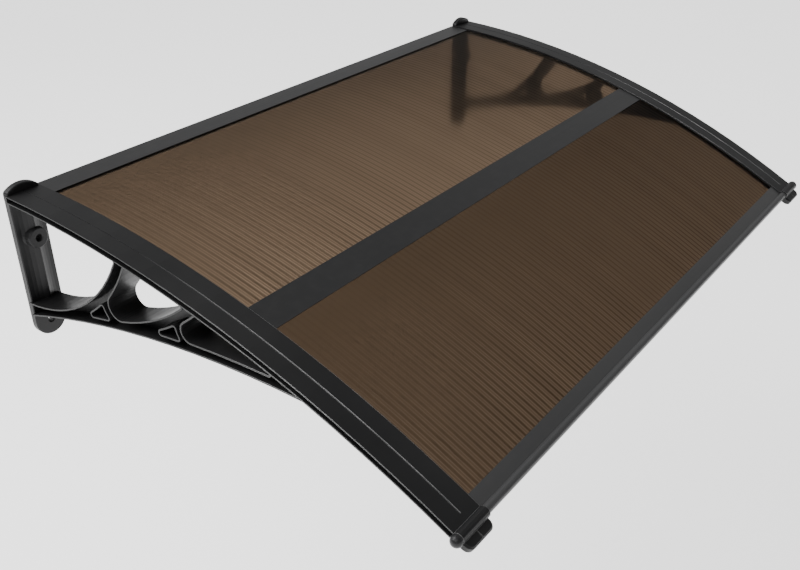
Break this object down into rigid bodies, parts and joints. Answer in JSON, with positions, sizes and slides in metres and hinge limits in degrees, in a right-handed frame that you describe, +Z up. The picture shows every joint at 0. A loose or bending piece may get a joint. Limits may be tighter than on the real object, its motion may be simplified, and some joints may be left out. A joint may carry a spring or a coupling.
{
  "type": "door canopy",
  "caption": "Arched door canopy: black moulded brackets with pierced arms hold fluted bronze roof sheets in black rails.",
  "frame": {"origin": "middle of the rear rail's back face, on the wall plane", "axes": "+X along the wall to the right as seen from the street, +Y into the wall, +Z up"},
  "size_m": [1.2232, 0.7994, 0.2519],
  "materials": {
    "moulded_plastic": "satin black",
    "coated_aluminium": "satin black coating",
    "polycarbonate": "translucent bronze, gloss",
    "rubber": "matt",
    "plated_steel": "zinc plated"
  },
  "bodies": {
    "root": {"bracket_left": "moulded_plastic", "end_plug_left": "moulded_plastic", "rear_side_seal_left": "rubber", "front_side_seal_left": "rubber", "rear_screw_left_1": "plated_steel", "rear_screw_left_2": "plated_steel", "middle_screw_left_1": "plated_steel", "middle_screw_left_2": "plated_steel", "front_screw_left_1": "plated_steel", "bracket_right": "moulded_plastic", "end_plug_right": "moulded_plastic", "rear_side_seal_right": "rubber", "front_side_seal_right": "rubber", "rear_screw_right_1": "plated_steel", "rear_screw_right_2": "plated_steel", "middle_screw_right_1": "plated_steel", "middle_screw_right_2": "plated_steel", "front_screw_right_1": "plated_steel", "rear_rail": "coated_aluminium", "joining_strip": "coated_aluminium", "front_rail": "coated_aluminium", "rear_sheet": "polycarbonate", "front_sheet": "polycarbonate"}
  },
  "joints": []
}
